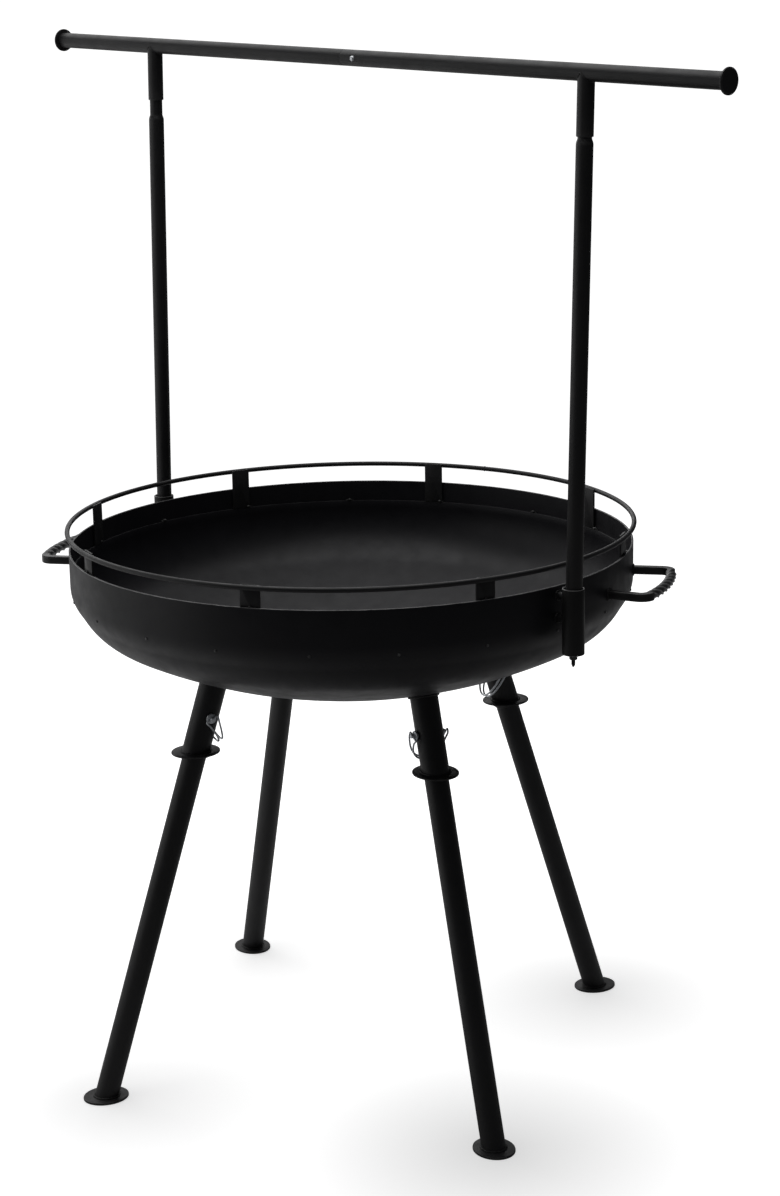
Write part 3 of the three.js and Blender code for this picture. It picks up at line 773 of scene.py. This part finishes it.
def make_leg(number):
    place = station(number)
    radius, thick = FOOT["radius"], FOOT["thick"]
    foot = lathe([(0, 0, 0), (radius, 0, 1.1), (radius, thick, 1.4), (0, thick, 0)], 96,
                 place @ Matrix.Translation(leg_point(0)) @ Matrix.Diagonal((1, FOOT["narrow"], 1, 1)))
    build(f"foot_{number}", foot, FRAME_COAT, f"foot_plate_{number}")

    floor_z, top = thick + GAP, LEG["top"]
    outer, inner = LEG["outer"], LEG["inner"]
    heights = [12 + 40 * k for k in range(16)] + [top - 1]
    rings = [leg_ring(outer, to_level(floor_z))]
    rings += [leg_ring(outer, square_at(z)) for z in heights]
    rings += [leg_ring(outer - 0.8, square_at(top)), leg_ring(inner, square_at(top))]
    rings += [leg_ring(inner, square_at(z)) for z in heights[::-1]]
    rings += [leg_ring(inner, to_level(floor_z))]
    tube = Shape().add(loft(rings, [0.0] * len(rings), closed=True), place)
    pin_way = drill(PIN["hole"], -50, 50, 32, place @ along_y(leg_point(PIN["z"])))
    cut_with(build(f"leg_{number}", tube, FRAME_COAT, f"leg_tube_{number}"), pin_way)

    outer, inner = SLEEVE["outer"], SLEEVE["inner"]
    low = SLEEVE["collar_z"] - COLLAR["thick"] / 2
    high = low + COLLAR["thick"]
    bottom = low - SLEEVE["below"]
    heights = (575, 600, 620, 640)
    rings = [leg_ring(inner, square_at(bottom + 0.6)), leg_ring(inner + 0.5, square_at(bottom)),
             leg_ring(outer - 0.6, square_at(bottom)), leg_ring(outer, square_at(bottom + 0.7))]
    rings += [leg_ring(outer, square_at(z)) for z in heights]
    rings += [leg_ring(outer, to_dish(GAP)), leg_ring(inner, to_dish(GAP))]
    rings += [leg_ring(inner, square_at(z)) for z in heights[::-1]]
    wears = [0.6, 0.9, 0.9, 0.6] + [0.0] * 10
    sleeve = Shape().add(loft(rings, wears, closed=True), place)
    cut_with(build(f"sleeve_{number}", sleeve, FRAME_COAT, f"leg_sleeve_{number}"), pin_way)

    sides = 96
    middle = leg_point(SLEEVE["collar_z"])
    rings = [leg_ring(outer + GAP, to_level(low), sides)]
    for z, inset in ((low, 0.9), (low + 0.3, 0.25), (low + 0.9, 0),
                     (high - 0.9, 0), (high - 0.3, 0.25), (high, 0.9)):
        radius = COLLAR["radius"] - inset
        rings.append([Vector((middle.x + radius * math.cos(turn),
                              COLLAR["narrow"] * radius * math.sin(turn), z)) for turn in turns(sides)])
    rings.append(leg_ring(outer + GAP, to_level(high), sides))
    collar = Shape().add(loft(rings, [0, 0.3, 1, 0.3, 0.3, 1, 0.3, 0], closed=True), place)
    build(f"collar_{number}", collar, FRAME_COAT, f"leg_collar_{number}")

    welds = Shape()
    for radius, reach, size, pitch in (
            (outer + 0.6, to_level(high + 0.5), WELD["collar_top"], 2.6),
            (outer + 0.5, to_level(low - 0.4), WELD["collar_bottom"], 2.6),
            (outer + 0.9, to_dish(1.1), WELD["sleeve"], 3.0),
            (LEG["outer"] + 0.7, to_level(thick + 0.7), WELD["foot"], 2.6)):
        welds.add(bead(leg_ring(radius, reach), size, closed=True, pitch=pitch), place)
    build(f"leg_welds_{number}", welds, WELD_COAT)


# ------------------------ pins

def pin_frame(number):
    """X towards the pin's head, Z the way its bail hangs."""
    side = -1 if number % 2 else 1
    hang = BAIL["hang"] - LEG["splay"]
    to_head = Vector((0, side, 0))
    down = Vector((-math.sin(hang), 0, -math.cos(hang)))
    return station(number) @ basis(to_head, down.cross(to_head), down, leg_point(PIN["z"]))


def smooth_curve(points, per_span=10):
    """A Catmull-Rom curve through points."""
    points = [Vector(p) for p in points]
    padded = [2 * points[0] - points[1]] + points + [2 * points[-1] - points[-2]]
    out = []
    for a, b, c, d in zip(padded, padded[1:], padded[2:], padded[3:]):
        for k in range(per_span):
            t = k / per_span
            out.append(0.5 * (2 * b + (c - a) * t + (2 * a - 5 * b + 4 * c - d) * t ** 2
                              + (3 * b - a - 3 * c + d) * t ** 3))
    out.append(points[-1])
    return out


def make_pin(number):
    place = pin_frame(number)
    tip, shank, head, neck = PIN["tip"], PIN["shank"], PIN["head"], PIN["neck"]
    head_from, head_to, waist = PIN["head_from"], PIN["head_to"], PIN["shank"] - PIN["groove"]
    body = lathe([
        (0, tip, 0), (2.2, tip, 0.8), (shank, tip + 3.4, 1.2),
        (shank, tip + 6.4, 0.3), (waist, tip + 7.0, 0.3), (waist, tip + 8.6, 0.3), (shank, tip + 9.2, 0.3),
        (shank, head_from, 0.4), (head, head_from, 0.9), (head, head_from + 2.6, 0.9),
        (neck, head_from + 3.0, 0.5), (neck, head_to, 1.2), (0, head_to, 0)], 40, place @ along_x())
    pin = build(f"pin_{number}", body, ZINC, f"leg_pin_{number}", body=f"pin_{number}", slot="zinc")
    cut_with(pin, drill(PIN["eye"], -15, 15, 20, place @ along_y((PIN["hinge"], 0, 0))))

    # One strand of the bail's wire from the pin's eye round to its end, mirrored for the other.
    hinge, side, head_side, loop = PIN["hinge"], BAIL["side"], BAIL["head_side"], BAIL["loop"]
    strand = [(hinge, 1.8, 0), (hinge, head_side - 1.5, 0), (hinge, head_side, 2.4)]
    turn = BAIL_BEND["first"]
    while turn <= BAIL_BEND["last"]:
        wide = (head_side - side) * max(0.0, 1 - turn / BAIL_BEND["narrow_at"]) ** 2
        strand.append((BAIL["half"] * math.cos(turn), side + wide, BAIL["reach"] * math.sin(turn)))
        turn += BAIL_BEND["step"]
    strand.append((-loop, side, 2))
    back = [(x, -y, z) for x, y, z in reversed(strand)]
    path = resampled(smooth_curve(strand + [(-loop, 0, -shank / 2 - 1)] + back), 1.0)
    wire = Shape().add(swept(path, lambda i: circle(BAIL["wire"], 12)), place)
    build(f"bail_{number}", wire, ZINC, f"pin_bail_{number}", body=f"bail_{number}", slot="zinc")


# ------------------------ sockets and posts

def make_socket(end):
    place = BOWL if end == "near" else BOWL @ turn_z(math.pi)
    at_post = place @ Matrix.Translation((POST_X, 0, 0))
    low, high = RIM_Z + SOCKET["bottom"], RIM_Z + SOCKET["top"]
    outer, inner = SOCKET["outer"], SOCKET["inner"]

    # Painted highlight: the socket's rounded rims get high wear values, which its coat paints bright.
    tube = lathe([(outer, low, 1.3), (outer, high, 0.9), (inner, high, 0.8), (inner, low, 0.5)], 80, at_post)
    build(f"socket_{end}", tube, PAINTED_HIGHLIGHT_COAT, f"post_socket_{end}")

    radius, hole, plug_top = PLUG["radius"], PLUG["hole"], low + PLUG["thick"]
    plug = lathe([(hole, low, 0.3), (radius, low, 0.5), (radius, plug_top, 0.5), (hole, plug_top, 0.3)],
                 48, at_post)
    build(f"plug_{end}", plug, FRAME_COAT, f"socket_plug_{end}")

    sides, per_pitch = 28, 6
    top, bottom, pitch = RIM_Z + STUD["top"], RIM_Z + STUD["bottom"], STUD["pitch"]
    count = int((top - bottom) / pitch * per_pitch)
    rings = []
    for i in range(count + 1):
        z = bottom + (top - bottom) * i / count
        pointed = STUD["radius"] - STUD["point"] + STUD["point"] * (z - bottom) / STUD["taper"]
        ring = []
        for k, turn in enumerate(turns(sides)):
            share = (z / pitch - k / sides) % 1.0
            depth = STUD["thread"] * (1 - abs(2 * share - 1))
            ring.append(polar(min(STUD["radius"] - depth, pointed), turn, z))
        rings.append(ring)
    stud = Shape().add(loft(rings, [0.3] * len(rings), caps=True), at_post)
    build(f"stud_{end}", stud, OXIDE, f"socket_stud_{end}")

    sides = 72
    nut_top, nut_low = low - GAP, low - GAP - NUT["thick"]
    corner = NUT["flat"] / math.cos(math.pi / 6)
    rings = []
    for z, drop in ((nut_low, 0.9), (nut_low + 0.5, 0.35), (nut_low + 1.1, 0),
                    (nut_top - 1.1, 0), (nut_top - 0.5, 0.35), (nut_top, 0.9)):
        ring = []
        for turn in turns(sides):
            flat = (turn + math.pi / 6) % (math.pi / 3) - math.pi / 6
            ring.append(polar(min(NUT["flat"] / math.cos(flat), corner - drop), turn, z))
        rings.append(ring)
    rings += [level_ring(NUT["bore"], z, sides) for z in (nut_top, nut_low)]
    nut = Shape().add(loft(rings, [0.6] * 6 + [0.2] * 2, closed=True), at_post)
    build(f"nut_{end}", nut, OXIDE, f"socket_nut_{end}")

    length = POST_X - outer - BAND["outer"] - 2 * GAP
    radius = SPACER["radius"]
    for i, height in enumerate(SPACER["heights"], 1):
        bar = lathe([(0, 0, 0), (radius, 0, 0.4), (radius, length, 0.4), (0, length, 0)], 40,
                    place @ along_x((BAND["outer"] + GAP, 0, RIM_Z + height)))
        build(f"spacer_{i}_{end}", bar, FRAME_COAT, f"socket_spacer_{i}_{end}")
        welds = Shape()
        on_band, on_socket = [], []
        for turn in turns(40):
            y = (radius + 0.9) * math.cos(turn)
            z = RIM_Z + height + (radius + 0.9) * math.sin(turn)
            on_band.append(Vector((math.sqrt((BAND["outer"] + 0.7) ** 2 - y * y), y, z)))
            on_socket.append(Vector((POST_X - math.sqrt((outer + 0.7) ** 2 - y * y), y, z)))
        for loop in (on_band, on_socket):
            welds.add(bead(loop, WELD["spacer"], closed=True), place)
        build(f"spacer_{i}_{end}_welds", welds, WELD_COAT)


def make_post(end):
    x = POST_X if end == "near" else -POST_X
    # Both posts are equally long, so the lean leaves the far one's shoulder further below its stub.
    drop = 0 if end == "near" else 2 * POST_X * math.tan(LEAN)
    shoulder = BAR_RISE - STUB["length"] - STUB["shoulder"] - drop
    foot = RIM_Z + SOCKET["bottom"] + PLUG["thick"] + 2 * GAP - PIVOT_Z + x * math.tan(LEAN)
    top = shoulder + POST["spigot_length"]
    taper = shoulder - POST["taper"]
    outline = rounded([
        (POST["outer"], foot, 0.8), (POST["outer"], taper, 2.5), (POST["spigot"], shoulder, 1.2),
        (POST["spigot"], top, 1.2), (POST["spigot_inner"], top, 0.4), (POST["spigot_inner"], shoulder, 0.5),
        (POST["inner"], taper, 0.5), (POST["inner"], foot, 0.5)])
    outline = [(r, z, worn_and_lit * (0.35 if z < shoulder else 0.6)) for r, z, worn_and_lit in outline]
    tube = Shape().add(turned(outline, 72, closed=True), GOALPOST @ Matrix.Translation((x, 0, 0)))
    build(f"post_{end}", tube, FRAME_COAT, f"post_{end}")


# ------------------------ crossbar

# Z runs out of the crossbar through its button.
BUTTON_FRAME = CROSSBAR @ Matrix.Translation((BUTTON["x"], 0, 0)) @ basis((1, 0, 0), (0, 0, 1), (0, -1, 0))


def button_hole():
    return drill(BUTTON["hole"], 0, 30, 40, BUTTON_FRAME)


def make_bar():
    outer, inner, seam, half = BAR["outer"], BAR["inner"], BAR["seam"], BAR["half"]
    near = lathe([(inner, seam, 0.3), (outer, seam, 0.7), (outer, half, 0.5), (inner, half, 0.3)],
                 72, CROSSBAR @ along_x())
    cut_with(build("bar_near", near, FRAME_COAT, "crossbar_near_half", body="crossbar"), button_hole())

    shoulder, spigot_end = seam - GAP, BAR["spigot_end"]
    far = lathe([
        (inner, -half, 0.3), (outer, -half, 0.5), (outer, shoulder, 1.6), (BAR["spigot"], shoulder, 0.3),
        (BAR["spigot"], spigot_end, 0.6), (BAR["spigot_inner"], spigot_end, 0.3),
        (BAR["spigot_inner"], shoulder, 0.3), (inner, shoulder - 3, 0.3)], 72, CROSSBAR @ along_x())
    cut_with(build("bar_far", far, FRAME_COAT, "crossbar_far_half", body="crossbar"), button_hole())


def make_bar_end(end, side):
    sides = 96
    half, round_bar = BAR["half"], BAR["outer"]
    outer, inner, low = STUB["outer"], STUB["inner"], -STUB["length"]

    def saddle(radius, room):
        """A ring of the stub's tube where it meets the bar."""
        ring = []
        for turn in turns(sides):
            x, y = radius * math.cos(turn), radius * math.sin(turn)
            ring.append(Vector((x, y, -math.sqrt(max((round_bar + room) ** 2 - y * y, 0.0)))))
        return ring

    def flat(radius, z):
        return level_ring(radius, z, sides)

    place = CROSSBAR @ Matrix.Translation((side * POST_X, 0, 0))
    rings = [flat(inner, low + 0.5), flat(inner + 0.4, low), flat(outer - 0.5, low), flat(outer, low + 0.6),
             flat(outer, -60), flat(outer, -30), saddle(outer, GAP),
             saddle(inner, GAP), flat(inner, -30), flat(inner, -60)]
    wears = [0.3, 0.5, 0.7, 0.5] + [0] * 6
    build(f"stub_{end}", Shape().add(loft(rings, wears, closed=True), place),
          FRAME_COAT, f"crossbar_stub_{end}", body="crossbar")
    dressed = Shape().add(bead(saddle(outer + 0.2, 0.2), WELD["stub"], closed=True), place)
    build(f"stub_weld_{end}", dressed, FRAME_COAT, body="crossbar")
    reach = round_bar + 0.6
    loop = [Vector((0, reach * math.cos(turn), reach * math.sin(turn))) for turn in turns(64)]
    welds = Shape().add(bead(loop, WELD["end_disc"], closed=True),
                        CROSSBAR @ Matrix.Translation((side * (half - 0.6), 0, 0)))
    build(f"crossbar_welds_{end}", welds, WELD_COAT, body="crossbar")

    radius, thick = END_DISC["radius"], END_DISC["thick"]
    outward_x = basis((0, side, 0), (0, 0, 1), (side, 0, 0))
    disc = lathe([
        (0, 0, 0), (radius, 0, 0.7), (radius, thick, 0.9), (radius - 2.2, thick, 1.0), (0, thick - 0.7, 0)],
        72, CROSSBAR @ Matrix.Translation((side * (half + GAP), 0, 0)) @ outward_x)
    build(f"end_disc_{end}", disc, FRAME_COAT, f"end_disc_{end}", body="crossbar")


def make_button():
    radius, top, bottom = BUTTON["radius"], BUTTON["top"], BUTTON["bottom"]
    knob = lathe([(0, bottom, 0), (radius, bottom, 0.4), (radius, top - 1.4, 1.6), (radius - 1.9, top, 1.6),
                  (0, top, 0)], 40, BUTTON_FRAME)
    build("button", knob, ZINC, "snap_button", body="button", slot="zinc")

    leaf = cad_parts["button_spring"]
    leaf.data.materials.clear()
    leaf.data.materials.append(SPRING)


# ------------------------ stage, light and camera

CAMERA_PLACE = Vector((2.899, -2.6675, 1.8083))
CAMERA_HEADING = math.radians(136.675)
CAMERA_PITCH = 0.2544
CAMERA_ROLL = -0.0174
CAMERA_LENS = 75.05

# Level directions to the photo's right and towards the camera.
VIEW_RIGHT = Vector((math.sin(CAMERA_HEADING), -math.cos(CAMERA_HEADING), 0))
TO_CAMERA = Vector((-math.cos(CAMERA_HEADING), -math.sin(CAMERA_HEADING), 0))

# Softboxes around the object's middle, in metres: how far to the left, towards the camera and up,
# then width, height and power in watts.
LIGHTS_AIM = Vector((0, 0, 0.85))
LIGHTS = dict(
    side=(2.2, -1.6, 0.3, 1.3, 2.2, 5),
    fill=(3.0, 0.3, 0.5, 2.6, 2.2, 10),
    overhead=(0.35, -1.1, 2.4, 3.0, 2.6, 29),
    front=(0.3, 0.5, 2.6, 2.6, 2.2, 18),
    back=(1.0, -3.2, 1.3, 4.0, 2.0, 26))

# The floor, in metres: a square of paper that glows white to the camera, a little less near the object, with
# a painted grey shadow pool at each foot.
FLOOR = dict(half=14.0, squares=28)
# Painted shade on the paper in front of the object, in metres along the way towards the camera.
PAINTED_FRONT_SHADE = dict(start=-0.3, end=0.5, shade=0.46, to_right=0.6)
GLOW = dict(start=0.7, end=1.4, inside=0.90, outside=1.02)
FOOT_SHADOW_POOL = dict(start=0.03, end=0.30, level=0.68)
BACKDROP, AMBIENT = 1.1, 0.04


def make_camera():
    data = bpy.data.cameras.new("camera")
    data.lens = CAMERA_LENS
    data.sensor_width = 36
    data.clip_end = 100
    camera = new_object("camera", data)
    ahead = Vector((math.cos(CAMERA_HEADING) * math.cos(CAMERA_PITCH),
                    math.sin(CAMERA_HEADING) * math.cos(CAMERA_PITCH), -math.sin(CAMERA_PITCH)))
    right = ahead.cross(UP).normalized()
    up = right.cross(ahead)
    tilted_right = right * math.cos(CAMERA_ROLL) + up * math.sin(CAMERA_ROLL)
    tilted_up = up * math.cos(CAMERA_ROLL) - right * math.sin(CAMERA_ROLL)
    camera.matrix_world = basis(tilted_right, tilted_up, -ahead, CAMERA_PLACE)
    bpy.context.scene.camera = camera


def softbox(name, left, near, rise, width, height, power):
    data = bpy.data.lights.new(name, "AREA")
    data.shape = "RECTANGLE"
    data.size, data.size_y = width, height
    data.energy = power
    light = new_object(name, data)
    light.location = LIGHTS_AIM - VIEW_RIGHT * left + TO_CAMERA * near + UP * rise
    light.rotation_euler = (LIGHTS_AIM - light.location).to_track_quat("-Z", "Y").to_euler()


def floor_paper():
    n = Nodes(bpy.data.materials.new("floor_paper"))
    mottle = n.mix(n.remap(n.noise(1.7, 3.0), 0.3, 0.7, 0.0, 1.0), shade(0.90), shade(0.93))
    # Painted shade: the paper's colour is darker in front of the object, standing in for the unlit front of
    # a stage lit from behind.
    front = (TO_CAMERA + VIEW_RIGHT * PAINTED_FRONT_SHADE["to_right"]).normalized()
    ahead = n.make("VectorMath", {0: n.coord, 1: front}, operation="DOT_PRODUCT").outputs["Value"]
    painted_front_shade = n.remap(ahead, PAINTED_FRONT_SHADE["start"], PAINTED_FRONT_SHADE["end"], 0.0, 1.0)
    tone = n.mix(painted_front_shade, mottle, shade(PAINTED_FRONT_SHADE["shade"]))
    paper = n.make("BsdfDiffuse", {"Color": tone})
    seen = n.make("LightPath").outputs["Is Camera Ray"]
    away = n.make("VectorMath", {0: n.coord}, operation="LENGTH").outputs["Value"]
    level = n.remap(away, GLOW["start"], GLOW["end"], GLOW["inside"], GLOW["outside"])
    # Painted shadow: the glow is dimmed in a pool round each foot.
    for number in range(1, 5):
        foot = (station(number) @ leg_point(0)) * MM
        apart = n.make("VectorMath", {0: n.coord, 1: foot}, operation="DISTANCE").outputs["Value"]
        painted_shadow = n.remap(apart, FOOT_SHADOW_POOL["start"], FOOT_SHADOW_POOL["end"], FOOT_SHADOW_POOL["level"], 1.0)
        level = n.math("MULTIPLY", level, painted_shadow)
    glow = n.make("Emission", {"Color": (1, 1, 1, 1), "Strength": n.math("MULTIPLY", seen, level)})
    return n.done(n.make("AddShader", {0: paper.outputs[0], 1: glow.outputs[0]}))


def make_floor():
    mesh = bpy.data.meshes.new("floor")
    half, count = FLOOR["half"], FLOOR["squares"]
    row = count + 1
    points = [(half * (i / count - 0.5) * 2, half * (j / count - 0.5) * 2, 0)
              for j in range(row) for i in range(row)]
    corners = [j * row + i for j in range(count) for i in range(count)]
    mesh.from_pydata(points, [], [(k, k + 1, k + row + 1, k + row) for k in corners])
    mesh.materials.append(floor_paper())
    floor = new_object("floor", mesh)


def make_world():
    """A white backdrop for the camera, and a faint cool light for everything else."""
    n = Nodes(bpy.data.worlds.new("studio"), "OutputWorld")
    seen = n.make("LightPath").outputs["Is Camera Ray"]
    dim = n.make("Background", {0: (0.94, 0.95, 1, 1), 1: AMBIENT}).outputs[0]
    white = n.make("Background", {0: (1, 1, 1, 1), 1: BACKDROP}).outputs[0]
    bpy.context.scene.world = n.done(n.make("MixShader", {0: seen, 1: dim, 2: white}))


def main():
    make_camera()
    make_bowl()
    make_tacks()
    make_rail()
    for name, angle in HANDLE_ANGLES.items():
        make_handle(name, angle)
    for number in range(1, 5):
        make_leg(number)
        make_pin(number)
    for end in ("near", "far"):
        make_socket(end)
        make_post(end)
    make_bar()
    for end, side in (("near", 1), ("far", -1)):
        make_bar_end(end, side)
    make_button()
    make_floor()
    make_world()
    for name, placing in LIGHTS.items():
        softbox(name, *placing)
    bpy.context.scene.view_settings.view_transform = "Standard"


main()
